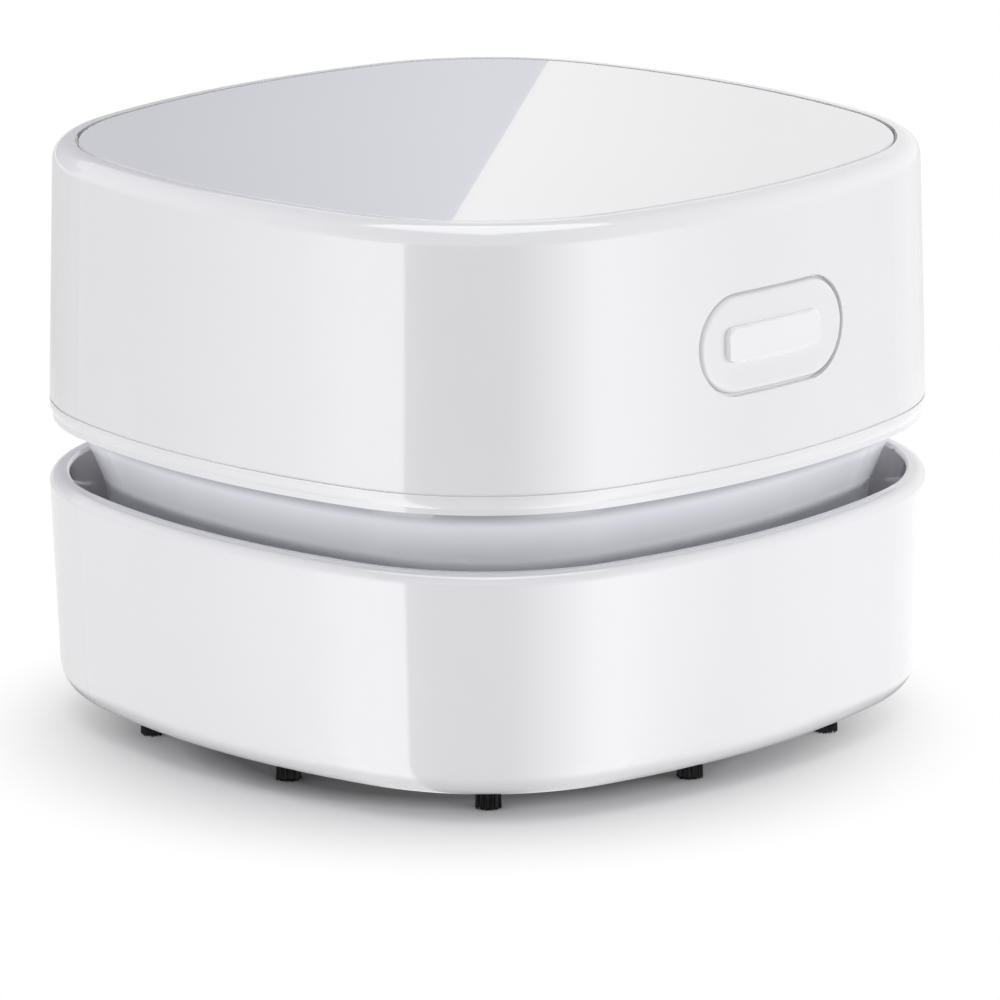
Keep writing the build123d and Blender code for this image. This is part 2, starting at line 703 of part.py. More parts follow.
magnet_inner = motor_radius - motor_wall - magnet_thickness
with BuildPart() as motor_magnets:
    with BuildSketch(Plane.XY.offset(motor_level + bush_length)):
        Circle(motor_radius - motor_wall)
        Circle(magnet_inner, mode=Mode.SUBTRACT)
        Rectangle(magnet_inner / 2, 2 * motor_radius, mode=Mode.SUBTRACT)
    extrude(amount=rotor_length)
motor_magnets.part.label = "motor_magnets"

with BuildPart() as motor_end_cap:
    with BuildSketch(Plane.XY.offset(motor_top - end_cap_thickness)):
        Circle(motor_radius)
    extrude(amount=end_cap_thickness)
    with BuildSketch(Plane.XY.offset(motor_top - end_cap_thickness)):
        Circle(shaft_radius + running_fit)
    extrude(amount=end_cap_thickness / 2, mode=Mode.SUBTRACT)
    terminal_level = motor_top - end_cap_thickness / 2
    with Locations((-motor_radius, 0, terminal_level), (motor_radius, 0, terminal_level)):
        Box(terminal_length, terminal_width, terminal_thickness, mode=Mode.SUBTRACT)
motor_end_cap.part.label = "motor_end_cap"

with BuildPart() as motor_terminals:
    with Locations((-motor_radius, 0, terminal_level), (motor_radius, 0, terminal_level)):
        Box(terminal_length, terminal_width, terminal_thickness)
motor_terminals.part.label = "motor_terminals"

# Fan: shaft and rotor in the motor, impeller on the shaft's lower end
with BuildPart() as motor_shaft:
    with BuildSketch(Plane.XY.offset(blade_level)):
        Circle(shaft_radius)
    extrude(amount=motor_top - end_cap_thickness / 2 - running_fit - blade_level)
    chamfer(motor_shaft.edges().group_by(Axis.Z)[0], shaft_radius / 5)
motor_shaft.part.label = "motor_shaft"

with BuildPart() as motor_rotor:
    with BuildSketch(Plane.XY.offset(motor_level + bush_length)):
        Circle(magnet_inner - rotor_gap)
        Circle(shaft_radius, mode=Mode.SUBTRACT)
    extrude(amount=rotor_length)
motor_rotor.part.label = "motor_rotor"

# Impeller: backward-curved blades between a back plate on the hub and an open shroud
blade_in = Vector(blade_start, 0)
blade_out = Vector(fan_radius - blade_thickness / 2, 0).rotate(Axis.Z, -blade_sweep)
with BuildSketch() as blade:
    with BuildLine() as blade_line:
        RadiusArc(blade_in, blade_out, -blade_curve)
    trace(line_width=blade_thickness)
with BuildPart() as impeller:
    with BuildSketch(Plane.XY.offset(backplate_level)):
        Circle(fan_radius)
    extrude(amount=backplate_thickness)
    with BuildSketch(Plane.XY.offset(shroud_level)):
        Circle(fan_radius)
        Circle(fan_eye, mode=Mode.SUBTRACT)
    extrude(amount=shroud_thickness)
    with BuildSketch(Plane.XY.offset(blade_level)):
        with PolarLocations(0, blade_count):
            add(blade.sketch)
        Circle(fan_radius, mode=Mode.INTERSECT)
    extrude(amount=blade_height)
    with BuildSketch(Plane.XY.offset(blade_level)):
        Circle(hub_radius)
    extrude(amount=backplate_level - blade_level, taper=-10)
    with BuildSketch(Plane.XY.offset(blade_level)):
        Circle(shaft_radius)
    extrude(amount=fan_top - blade_level, mode=Mode.SUBTRACT)
impeller.part.label = "impeller"

# Button: its face follows the wall, a flange holds it behind the wall, and a stem meets the plunger
button_plane = Plane.XZ.offset(half_width + bar_proud)
with BuildPart() as button_face:
    with BuildSketch(button_plane):
        with Locations((0, button_level)):
            SlotOverall(button_length, button_height)
    extrude(amount=flange_y - half_width - bar_proud)
    add(head_block(seam_level, top_level, -button_proud), mode=Mode.INTERSECT)
    fillet(button_face.faces().sort_by(Axis.Y)[0].edges(), button_edge_radius)
with BuildPart() as button_cap:
    with BuildSketch(button_plane):
        with Locations((0, button_level)):
            SlotOverall(button_length + 2 * button_flange, button_height + 2 * button_flange)
    extrude(amount=flange_y - half_width - bar_proud)
    add(head_block(seam_level, top_level, button_lip + seat_gap), mode=Mode.INTERSECT)
    add(button_face.part)
    with BuildSketch(Plane.XZ.offset(stem_y)):
        with Locations((0, button_level)):
            Circle(stem_radius)
    extrude(amount=stem_length)
    with BuildSketch(Plane.XZ.offset(pocket_y)):
        with Locations((bar_shift, bar_level)):
            RectangleRounded(bar_length, bar_height, bar_corner)
    extrude(amount=bar_depth + bar_proud, mode=Mode.SUBTRACT)
button_cap.part.label = "button_cap"

# Bar: a raised insert in the middle of the button
with BuildPart() as button_bar:
    with BuildSketch(Plane.XZ.offset(pocket_y)):
        with Locations((bar_shift, bar_level)):
            RectangleRounded(bar_length, bar_height, bar_corner)
    extrude(amount=bar_depth + 2 * bar_proud)
    add(head_block(seam_level, top_level, -button_proud - bar_proud), mode=Mode.INTERSECT)
    fillet(button_bar.faces().sort_by(Axis.Y)[0].edges(), bar_edge_radius)
button_bar.part.label = "button_bar"

with BuildPart() as switch_plunger:
    with BuildSketch(Plane.XZ.offset(switch_y - plunger_reach)):
        with Locations((0, button_level)):
            Circle(plunger_radius)
    extrude(amount=plunger_reach + plunger_show)
switch_plunger.part.label = "switch_plunger"

# Switch: housing on a small board that stands in the rails of the base ring
with BuildPart() as switch_housing:
    with Locations((0, -switch_y, button_level)):
        Box(switch_width, switch_depth, switch_width, align=(Align.CENTER, Align.MIN, Align.CENTER))
    with BuildSketch(Plane.XZ.offset(switch_y)):
        with Locations((0, button_level)):
            Circle(plunger_radius + plunger_fit)
    extrude(amount=-plunger_reach - button_travel - plunger_fit, mode=Mode.SUBTRACT)
switch_housing.part.label = "switch_housing"

with BuildPart() as switch_board:
    with Locations((0, -board_y, button_level)):
        Box(board_width, board_thickness, board_height, align=(Align.CENTER, Align.MIN, Align.CENTER))
switch_board.part.label = "switch_board"

# Cells: the front one has its tip at +X, the rear one at -X
tip_x = bay_length / 2 - contact_thickness - seat_gap
front_axis = Plane((tip_x, -cell_y, cell_axis), z_dir=(-1, 0, 0))
rear_axis = Plane((-tip_x, cell_y, cell_axis), z_dir=(1, 0, 0))
cell_edge = cell_radius / 10
with BuildPart() as front_cell:
    with BuildSketch(front_axis.offset(cell_tip_length)):
        Circle(cell_radius)
    extrude(amount=cell_length - cell_tip_length)
    fillet(front_cell.edges().filter_by(GeomType.CIRCLE), cell_edge)
front_cell.part.label = "front_cell"

with BuildPart() as front_cell_tip:
    with BuildSketch(front_axis):
        Circle(cell_tip_radius)
    extrude(amount=cell_tip_length)
front_cell_tip.part.label = "front_cell_tip"

with BuildPart() as rear_cell:
    with BuildSketch(rear_axis.offset(cell_tip_length)):
        Circle(cell_radius)
    extrude(amount=cell_length - cell_tip_length)
    fillet(rear_cell.edges().filter_by(GeomType.CIRCLE), cell_edge)
rear_cell.part.label = "rear_cell"

with BuildPart() as rear_cell_tip:
    with BuildSketch(rear_axis):
        Circle(cell_tip_radius)
    extrude(amount=cell_tip_length)
rear_cell_tip.part.label = "rear_cell_tip"

pieces = [
    lower_shell, suction_nozzle, brush_ring, bristle_tufts, brush_ring_screws,
    filter_frame, filter_mesh, filter_seal,
    fan_housing, fan_cover, fan_cover_screws, base_ring, housing_screws, base_screws,
    upper_shell, battery_tray, tray_screws, contact_plates, contact_springs,
    motor_can, motor_bush, motor_screws, motor_magnets, motor_end_cap, motor_terminals,
    motor_shaft, motor_rotor, impeller,
    button_cap, button_bar, switch_plunger, switch_housing, switch_board,
    front_cell, front_cell_tip, rear_cell, rear_cell_tip, lid,
]
for piece in pieces:
    export_step(piece.part, f"parts/{piece.part.label}.step")
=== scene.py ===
import bmesh
import bpy
import math
import random
from mathutils import Matrix, Vector


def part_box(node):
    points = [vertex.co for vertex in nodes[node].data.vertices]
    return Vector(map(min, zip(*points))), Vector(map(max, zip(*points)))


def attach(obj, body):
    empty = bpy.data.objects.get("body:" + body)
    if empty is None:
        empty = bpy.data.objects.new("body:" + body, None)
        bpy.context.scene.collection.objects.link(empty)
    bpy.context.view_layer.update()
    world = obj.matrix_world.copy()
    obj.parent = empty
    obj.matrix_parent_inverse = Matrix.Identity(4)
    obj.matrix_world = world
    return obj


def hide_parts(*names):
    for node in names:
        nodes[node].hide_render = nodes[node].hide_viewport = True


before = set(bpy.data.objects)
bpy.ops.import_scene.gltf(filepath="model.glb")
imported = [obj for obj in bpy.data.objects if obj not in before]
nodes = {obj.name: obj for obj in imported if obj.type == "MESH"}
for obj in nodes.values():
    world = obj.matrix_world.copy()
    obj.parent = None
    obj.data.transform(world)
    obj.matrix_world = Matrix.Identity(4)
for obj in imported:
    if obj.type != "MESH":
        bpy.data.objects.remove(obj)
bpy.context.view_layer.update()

mm = 0.001
white = (1, 1, 1, 1)
black = (0, 0, 0, 1)
waveUnit = math.pi / 10  # metres between the bands of a wave texture whose scale is 1


def linear(hexColour):
    # sRGB hex to linear colour with alpha
    channels = [int(hexColour[i:i + 2], 16) / 255 for i in (1, 3, 5)]
    return tuple(c / 12.92 if c <= 0.04045 else ((c + 0.055) / 1.055) ** 2.4
                 for c in channels) + (1.0,)


def addNode(tree, kind, settings=None, links=None):
    # settings fill sockets or attributes by name or number, links join sockets to other nodes' outputs.
    # A Mix node goes by number: 0 is the factor, 2 and 3 are its two values, 6 and 7 its two colours
    node = tree.nodes.new(kind)
    for name, value in (settings or {}).items():
        if isinstance(name, int) or name in node.inputs:
            node.inputs[name].default_value = value
        else:
            setattr(node, name, value)
    for name, output in (links or {}).items():
        tree.links.new(output, node.inputs[name])
    return node


def bareMaterial(name):
    material = bpy.data.materials.new(name)
    material.use_nodes = True
    material.node_tree.nodes.clear()
    place = addNode(material.node_tree, "ShaderNodeTexCoord").outputs["Object"]
    return material, material.node_tree, place


def newMaterial(name, even):
    # One shader with the values that are even all over. Each finish then joins its own patterns to it
    material, tree, place = bareMaterial(name)
    shader = addNode(tree, "ShaderNodeBsdfPrincipled", even)
    addNode(tree, "ShaderNodeOutputMaterial", links={"Surface": shader.outputs["BSDF"]})
    return material, tree, shader, place


def joinPatterns(tree, shader, look, colour, polish, relief):
    # The polish pattern takes the roughness from its first value to its second, and the relief pattern
    # is as deep as the real one
    gloss = addNode(tree, "ShaderNodeMapRange", {"To Min": look["roughness"][0],
                                                 "To Max": look["roughness"][1]}, {"Value": polish})
    bump = addNode(tree, "ShaderNodeBump", {"Distance": look["relief"]}, {"Height": relief})
    tree.links.new(colour, shader.inputs["Base Color"])
    tree.links.new(gloss.outputs["Result"], shader.inputs["Roughness"])
    tree.links.new(bump.outputs["Normal"], shader.inputs["Normal"])


def newObject(name, form):
    mesh = bpy.data.meshes.new(name)
    form.to_mesh(mesh)
    form.free()
    piece = bpy.data.objects.new(name, mesh)
    bpy.context.scene.collection.objects.link(piece)
    return piece


print("materials")

glossyMouldings = {
    "shell": {"light": "#F2F2F3", "dark": "#EFEFF0", "roughness": (0.096, 0.144), "lacquer": 0.02},
    # The neck's white darkens to a painted shadow under the ring, between the two heights given
    "neck": {"light": "#F5F5FB", "dark": "#F2F2F9", "roughness": (0.16, 0.24), "lacquer": 0.03,
             "dust": "#A8A8B0", "dustFrom": 30.2 * mm, "dustTo": 31.7 * mm},
    "lid": {"light": "#F5F5F7", "dark": "#F2F2F4", "roughness": (0.024, 0.036), "lacquer": 0.0},
    "button": {"light": "#F2F2F3", "dark": "#EFEFF0", "roughness": (0.112, 0.168), "lacquer": 0.03},
    "bar": {"light": "#F9F9F9", "dark": "#F6F6F6", "roughness": (0.16, 0.24), "lacquer": 0.05},
}
polishedMould = {"cooling": 18 * mm, "polish": 5 * mm, "relief": 0.01 * mm}


def polishedAbs(name, look):
    # ABS from a polished mould: a clear reflection that waves a little where the wall cooled unevenly,
    # over a white body whose gloss differs by a hair from place to place
    look = {**polishedMould, **look}
    material, tree, shader, place = newMaterial(name, {"IOR": 1.53, "Coat Weight": 1.0, "Coat IOR": 1.6,
                                                       "Coat Roughness": look["lacquer"]})
    cooling = addNode(tree, "ShaderNodeTexNoise", {"Scale": 1 / look["cooling"], "Detail": 2.0},
                      {"Vector": place}).outputs["Fac"]
    polish = addNode(tree, "ShaderNodeTexNoise", {"Scale": 1 / look["polish"], "Detail": 3.0},
                     {"Vector": place}).outputs["Fac"]
    colour = addNode(tree, "ShaderNodeMix", {"data_type": "RGBA", 6: linear(look["dark"]),
                                             7: linear(look["light"])}, {0: cooling}).outputs[2]
    if "dust" in look:
        # A painted shadow: the colour darkens to grey in the corner under the ring, where the ring's
        # edge shades the neck
        height = addNode(tree, "ShaderNodeSeparateXYZ", links={"Vector": place}).outputs["Z"]
        paintedShadeMask = addNode(tree, "ShaderNodeMapRange", {"interpolation_type": "SMOOTHSTEP",
                                                       "From Min": look["dustFrom"],
                                                       "From Max": look["dustTo"]},
                          {"Value": height}).outputs["Result"]
        colour = addNode(tree, "ShaderNodeMix", {"data_type": "RGBA", 7: linear(look["dust"])},
                         {0: paintedShadeMask, 6: colour}).outputs[2]
    joinPatterns(tree, shader, look, colour, polish, cooling)
    return material


mattMouldings = {
    "inner": {"light": "#EDEDEF", "dark": "#E4E4E8", "roughness": (0.4675, 0.6325)},
    "black": {"light": "#26272A", "dark": "#151618", "roughness": (0.4675, 0.6325)},
    "fan": {"light": "#4E5258", "dark": "#3A3E43", "roughness": (0.357, 0.483)},
    "acetal": {"light": "#F0EEE7", "dark": "#E4E1D7", "roughness": (0.2975, 0.4025)},
}
erodedMould = {"pits": 0.35 * mm, "flow": 9 * mm, "winding": 1.2, "pitShare": 0.35, "relief": 0.03 * mm}


def erodedAbs(name, look):
    # Plastic from a spark-eroded mould: a fine even grain that takes the shine off, and broad faint
    # flow marks. The sparks' pits are 0.05 mm, drawn at 0.35 mm so that they still show
    look = {**erodedMould, **look}
    material, tree, shader, place = newMaterial(name, {"IOR": 1.53})
    pits = addNode(tree, "ShaderNodeTexVoronoi", {"feature": "SMOOTH_F1", "Scale": 1 / look["pits"]},
                   {"Vector": place}).outputs["Distance"]
    flow = addNode(tree, "ShaderNodeTexNoise", {"Scale": 1 / look["flow"], "Detail": 4.0,
                                                "Distortion": look["winding"]},
                   {"Vector": place}).outputs["Fac"]
    both = addNode(tree, "ShaderNodeMath", {"operation": "MULTIPLY_ADD", 1: look["pitShare"]},
                   {0: pits, 2: flow}).outputs[0]
    colour = addNode(tree, "ShaderNodeMix", {"data_type": "RGBA", 6: linear(look["dark"]),
                                             7: linear(look["light"])}, {0: both}).outputs[2]
    joinPatterns(tree, shader, look, colour, pits, pits)
    return material


platings = {
    "zinc": {"light": "#D2D4D6", "dark": "#A3A7AC", "roughness": (0.175, 0.35)},
    "nickel": {"light": "#DAD7CF", "dark": "#B5B0A5", "roughness": (0.14, 0.28)},
}
handledPlate = {"cloud": 1.5 * mm, "scratch": 0.12 * mm, "slant": (0.3, 0.5, 0.7), "stretch": 0.06,
                "relief": 0.01 * mm}


def platedSteel(name, look):
    # Plate on steel: bright, with the faint cloudiness of the bath and fine scratches from handling
    look = {**handledPlate, **look}
    material, tree, shader, place = newMaterial(name, {"Metallic": 1.0})
    cloud = addNode(tree, "ShaderNodeTexNoise", {"Scale": 1 / look["cloud"], "Detail": 4.0},
                    {"Vector": place}).outputs["Fac"]
    drawn = addNode(tree, "ShaderNodeMapping", {"Rotation": look["slant"],
                                                "Scale": (1.0, look["stretch"], 1.0)},
                    {"Vector": place}).outputs["Vector"]
    scratches = addNode(tree, "ShaderNodeTexNoise", {"Scale": 1 / look["scratch"], "Detail": 2.0},
                        {"Vector": drawn}).outputs["Fac"]
    colour = addNode(tree, "ShaderNodeMix", {"data_type": "RGBA", 6: linear(look["dark"]),
                                             7: linear(look["light"])}, {0: cloud}).outputs[2]
    joinPatterns(tree, shader, look, colour, scratches, scratches)
    return material


turnedSteel = {"light": "#C9CACC", "dark": "#9EA0A3", "rings": 0.25 * mm, "stretch": 0.02,
               "roughness": (0.22, 0.42), "relief": 0.01 * mm}


def rolledSteel():
    # Deep-drawn steel can and turned shaft: fine rings round the axis, which stretch the highlight
    material, tree, shader, place = newMaterial("rolledSteel", {"Metallic": 1.0})
    stretch = turnedSteel["stretch"]
    flat = addNode(tree, "ShaderNodeMapping", {"Scale": (stretch, stretch, 1.0)},
                   {"Vector": place}).outputs["Vector"]
    rings = addNode(tree, "ShaderNodeTexNoise", {"Scale": 1 / turnedSteel["rings"], "Detail": 3.0},
                    {"Vector": flat}).outputs["Fac"]
    colour = addNode(tree, "ShaderNodeMix", {"data_type": "RGBA", 6: linear(turnedSteel["dark"]),
                                             7: linear(turnedSteel["light"])}, {0: rings}).outputs[2]
    joinPatterns(tree, shader, turnedSteel, colour, rings, rings)
    return material


bushBronze = {"light": "#B98B45", "dark": "#6E4F22", "pores": 0.3 * mm, "roughness": (0.5, 0.32),
              "relief": 0.03 * mm}


def sinteredBronze():
    # Sintered bronze: a soft brown-gold metal with open pores
    material, tree, shader, place = newMaterial("sinteredBronze", {"Metallic": 1.0})
    pores = addNode(tree, "ShaderNodeTexVoronoi", {"Scale": 1 / bushBronze["pores"]},
                    {"Vector": place}).outputs["Distance"]
    colour = addNode(tree, "ShaderNodeMix", {"data_type": "RGBA", 6: linear(bushBronze["dark"]),
                                             7: linear(bushBronze["light"])}, {0: pores}).outputs[2]
    joinPatterns(tree, shader, bushBronze, colour, pores, pores)
    return material


filledBlacks = {
    "rubber": {"light": "#262626", "dark": "#121212", "grain": 0.8 * mm, "roughness": (0.53, 0.83),
               "relief": 0.02 * mm},
    "ferrite": {"light": "#363333", "dark": "#1B1A1A", "grain": 0.2 * mm, "roughness": (0.4, 0.7),
                "relief": 0.02 * mm},
}


def filledBlack(name, look):
    # Rubber and bonded ferrite: dark, dull and slightly dusty, with a mineral grain
    material, tree, shader, place = newMaterial(name, {})
    grain = addNode(tree, "ShaderNodeTexNoise", {"Scale": 1 / look["grain"], "Detail": 4.0},
                    {"Vector": place}).outputs["Fac"]
    colour = addNode(tree, "ShaderNodeMix", {"data_type": "RGBA", 6: linear(look["dark"]),
                                             7: linear(look["light"])}, {0: grain}).outputs[2]
    joinPatterns(tree, shader, look, colour, grain, grain)
    return material


filterCloth = {"light": "#C9CDD2", "dark": "#3C4046", "pitch": 0.8 * mm, "roughness": (0.8, 0.45),
               "relief": 0.15 * mm}


def wovenMesh():
    # Woven nylon filter mesh: pale threads over and under dark holes. The threads are 0.1 mm apart,
    # drawn at 0.8 mm so that the weave still shows
    material, tree, shader, place = newMaterial("wovenNylonMesh", {"Sheen Weight": 0.2})
    warp, weft = [addNode(tree, "ShaderNodeTexWave", {"bands_direction": direction,
                                                      "Scale": waveUnit / filterCloth["pitch"]},
                          {"Vector": place}).outputs["Fac"] for direction in ("X", "Y")]
    weave = addNode(tree, "ShaderNodeMath", {"operation": "MAXIMUM"}, {0: warp, 1: weft}).outputs[0]
    colour = addNode(tree, "ShaderNodeMix", {"data_type": "RGBA", 6: linear(filterCloth["dark"]),
                                             7: linear(filterCloth["light"])}, {0: weave}).outputs[2]
    joinPatterns(tree, shader, filterCloth, colour, weave, weave)
    return material


circuitBoard = {"mask": ("#15693A", "#136236"), "track": "#2B8550", "repeat": 7 * mm, "length": 2.1,
                "row": 0.15, "trackWidth": 0.02, "stagger": 0.37, "cloth": 0.5 * mm,
                "roughness": (0.28, 0.4), "relief": 0.03 * mm}


def solderMask():
    # Glass-epoxy board under green solder mask: rows of copper tracks show paler through it, and the
    # glass cloth is faint. Lengths along and across the tracks are shares of the pattern's repeat
    material, tree, shader, place = newMaterial("solderMaskBoard", {"Coat Weight": 0.5,
                                                                    "Coat Roughness": 0.1})
    upright = addNode(tree, "ShaderNodeMapping", {"Rotation": (math.pi / 2, 0, 0)},
                      {"Vector": place}).outputs["Vector"]
    tracks = addNode(tree, "ShaderNodeTexBrick", {"Scale": 1 / circuitBoard["repeat"],
                                                  "Mortar Size": circuitBoard["trackWidth"],
                                                  "Brick Width": circuitBoard["length"],
                                                  "Row Height": circuitBoard["row"],
                                                  "offset": circuitBoard["stagger"],
                                                  "Color1": linear(circuitBoard["mask"][0]),
                                                  "Color2": linear(circuitBoard["mask"][1]),
                                                  "Mortar": linear(circuitBoard["track"])},
                     {"Vector": upright})
    cloth = addNode(tree, "ShaderNodeTexWave", {"bands_direction": "X",
                                                "Scale": waveUnit / circuitBoard["cloth"]},
                    {"Vector": place}).outputs["Fac"]
    joinPatterns(tree, shader, circuitBoard, tracks.outputs["Color"], cloth, tracks.outputs["Fac"])
    return material


cellFilm = {"body": "#3F7F6B", "end": "#D9DBD6", "edge": 14 * mm, "blur": 0.1 * mm, "wrinkle": 2 * mm,
            "roughness": (0.24, 0.32), "relief": 0.006 * mm}


def shrinkFilm():
    # Printed shrink film on a cell: satin green with a pale end, and tiny wrinkles.
    # The two cells lie opposite ways, so the pale end is where X and Y have the same sign
    material, tree, shader, place = newMaterial("shrinkFilm", {"Coat Weight": 0.4,
                                                               "Coat Roughness": 0.08})
    sides = addNode(tree, "ShaderNodeSeparateXYZ", links={"Vector": place})
    way = addNode(tree, "ShaderNodeMath", {"operation": "SIGN"}, {0: sides.outputs["Y"]}).outputs[0]
    along = addNode(tree, "ShaderNodeMath", {"operation": "MULTIPLY"},
                    {0: way, 1: sides.outputs["X"]}).outputs[0]
    end = addNode(tree, "ShaderNodeMapRange", {"From Min": cellFilm["edge"],
                                               "From Max": cellFilm["edge"] + cellFilm["blur"]},
                  {"Value": along}).outputs["Result"]
    wrinkle = addNode(tree, "ShaderNodeTexNoise", {"Scale": 1 / cellFilm["wrinkle"], "Detail": 3.0},
                      {"Vector": place}).outputs["Fac"]
    colour = addNode(tree, "ShaderNodeMix", {"data_type": "RGBA", 6: linear(cellFilm["body"]),
                                             7: linear(cellFilm["end"])}, {0: end}).outputs[2]
    joinPatterns(tree, shader, cellFilm, colour, wrinkle, wrinkle)
    return material


filament = {"light": "#1E1E21", "dark": "#050506", "strand": 0.25 * mm, "stretch": 0.05,
            "roughness": (0.35, 0.55), "relief": 0.02 * mm}


def nylonBristle():
    # Black nylon filament: each strand is a slightly different black with a soft sheen along it
    material, tree, shader, place = newMaterial("nylonBristle", {"IOR": 1.53})
    upright = addNode(tree, "ShaderNodeMapping", {"Scale": (1.0, 1.0, filament["stretch"])},
                      {"Vector": place}).outputs["Vector"]
    strands = addNode(tree, "ShaderNodeTexNoise", {"Scale": 1 / filament["strand"], "Detail": 2.0},
                      {"Vector": upright}).outputs["Fac"]
    colour = addNode(tree, "ShaderNodeMix", {"data_type": "RGBA", 6: linear(filament["dark"]),
                                             7: linear(filament["light"])}, {0: strands}).outputs[2]
    joinPatterns(tree, shader, filament, colour, strands, strands)
    return material


materialFor = {
    polishedAbs("polishedAbsWhite", glossyMouldings["shell"]): ["lower_shell", "base_ring",
                                                                "upper_shell"],
    polishedAbs("polishedAbsNeck", glossyMouldings["neck"]): ["fan_housing"],
    polishedAbs("polishedAbsLid", glossyMouldings["lid"]): ["lid"],
    polishedAbs("polishedAbsButton", glossyMouldings["button"]): ["button_cap"],
    polishedAbs("polishedAbsBar", glossyMouldings["bar"]): ["button_bar"],
    erodedAbs("erodedAbsWhite", mattMouldings["inner"]): ["suction_nozzle", "brush_ring", "fan_cover",
                                                          "battery_tray"],
    erodedAbs("erodedAbsBlack", mattMouldings["black"]): ["filter_frame", "motor_end_cap",
                                                          "switch_housing"],
    erodedAbs("erodedAbsFan", mattMouldings["fan"]): ["impeller"],
    erodedAbs("acetalNatural", mattMouldings["acetal"]): ["switch_plunger"],
    platedSteel("zincPlatedSteel", platings["zinc"]): ["brush_ring_screws", "fan_cover_screws",
                                                       "housing_screws", "base_screws",
                                                       "tray_screws", "motor_screws"],
    platedSteel("nickelPlatedSteel", platings["nickel"]): ["contact_plates", "contact_springs",
                                                           "front_cell_tip", "rear_cell_tip"],
    rolledSteel(): ["motor_can", "motor_shaft", "motor_rotor"],
    sinteredBronze(): ["motor_bush", "motor_terminals"],
    filledBlack("sealRubber", filledBlacks["rubber"]): ["filter_seal"],
    filledBlack("bondedFerrite", filledBlacks["ferrite"]): ["motor_magnets"],
    wovenMesh(): ["filter_mesh"],
    solderMask(): ["switch_board"],
    shrinkFilm(): ["front_cell", "rear_cell"],
    nylonBristle(): ["bristle_tufts"],
}
for material, names in materialFor.items():
    for name in names:
        nodes[name].data.materials.clear()
        nodes[name].data.materials.append(material)

print("bristles")

bristles = {"perTuft": 130, "tuftRadius": 1.3 * mm, "thickness": 0.11 * mm, "tipShare": 0.8, "sides": 5,
            "splay": 3.0, "lift": 0.01 * mm, "uneven": 0.15 * mm, "tuftCount": 10, "firstTuft": 225.0,
            "tuftReach": 0.98, "strandTurn": 2.39996, "strandShift": 0.1, "pinch": 0.9, "seed": 4}
chance = random.Random(bristles["seed"])
low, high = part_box("bristle_tufts")
spots = [vertex.co for vertex in nodes["bristle_tufts"].data.vertices]
form = bmesh.new()
for tuft in range(bristles["tuftCount"]):
    # The plain tufts tell where each bundle stands
    heading = math.radians(bristles["firstTuft"] + 360 / bristles["tuftCount"] * tuft)
    ahead = Vector((math.cos(heading), math.sin(heading)))
    own = [spot for spot in spots if spot.to_2d().normalized().dot(ahead) > bristles["tuftReach"]]
    middle = sum(own, Vector()) / len(own)
    for strand in range(bristles["perTuft"]):
        # Turning by the golden angle packs the strands evenly, each a little out of place
        share = math.sqrt((strand + 0.5) / bristles["perTuft"])
        around = strand * bristles["strandTurn"] + chance.uniform(-bristles["strandShift"],
                                                                  bristles["strandShift"])
        offset = Vector((math.cos(around), math.sin(around), 0)) * share * bristles["tuftRadius"]
        tip = low[2] + bristles["lift"] + chance.uniform(0, 1) ** 2 * bristles["uneven"]
        length = high[2] - tip
        splay = math.radians(bristles["splay"] * chance.uniform(0, 1) * share)
        foot = Vector((middle.x, middle.y, tip)) + offset * bristles["pinch"]
        foot += offset.normalized() * math.tan(splay) * length
        axis = Vector((middle.x, middle.y, high[2])) + offset * bristles["pinch"] - foot
        turn = axis.to_track_quat("Z", "Y").to_matrix().to_4x4()
        bmesh.ops.create_cone(form, cap_ends=True, segments=bristles["sides"],
                              radius1=bristles["thickness"] * bristles["tipShare"],
                              radius2=bristles["thickness"], depth=axis.length,
                              matrix=Matrix.Translation(foot + axis / 2) @ turn)
tufts = newObject("nylonTufts", form)
for face in tufts.data.polygons:
    face.use_smooth = len(face.vertices) == 4
tufts.data.materials.append(nodes["bristle_tufts"].data.materials[0])
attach(tufts, "dust_box")
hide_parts("bristle_tufts")

print("camera, floor and light")

cameraPlace = {"distance": 0.7953, "azimuth": -45.0, "elevation": 14.27, "roll": -0.254,
               "lens": 269.4, "sensor": 36, "aimRight": 1.28 * mm, "aimHeight": 22.33 * mm}
azimuth, elevation, roll = [math.radians(cameraPlace[k]) for k in ("azimuth", "elevation", "roll")]
back = Vector((math.sin(azimuth) * math.cos(elevation), -math.cos(azimuth) * math.cos(elevation),
               math.sin(elevation)))
level = Vector((math.cos(azimuth), math.sin(azimuth), 0))
upright = back.cross(level)
right = level * math.cos(roll) + upright * math.sin(roll)
aim = level * cameraPlace["aimRight"] + Vector((0, 0, cameraPlace["aimHeight"]))
turn = Matrix((right, back.cross(right), back)).transposed().to_4x4()
camera = bpy.data.objects.new("camera", bpy.data.cameras.new("camera"))
camera.data.lens = cameraPlace["lens"]
camera.data.sensor_width = cameraPlace["sensor"]
camera.matrix_world = Matrix.Translation(aim + back * cameraPlace["distance"]) @ turn
bpy.context.scene.collection.objects.link(camera)
bpy.context.scene.camera = camera


def lightPath(tree):
    # The second value is 1 where the camera, a mirror or glass looks, and 0 where plain light falls
    path = addNode(tree, "ShaderNodeLightPath")
    seen = path.outputs["Is Camera Ray"]
    for ray in ("Is Glossy Ray", "Is Transmission Ray"):
        seen = addNode(tree, "ShaderNodeMath", {"operation": "MAXIMUM"},
                       {0: seen, 1: path.outputs[ray]}).outputs[0]
    return path, seen
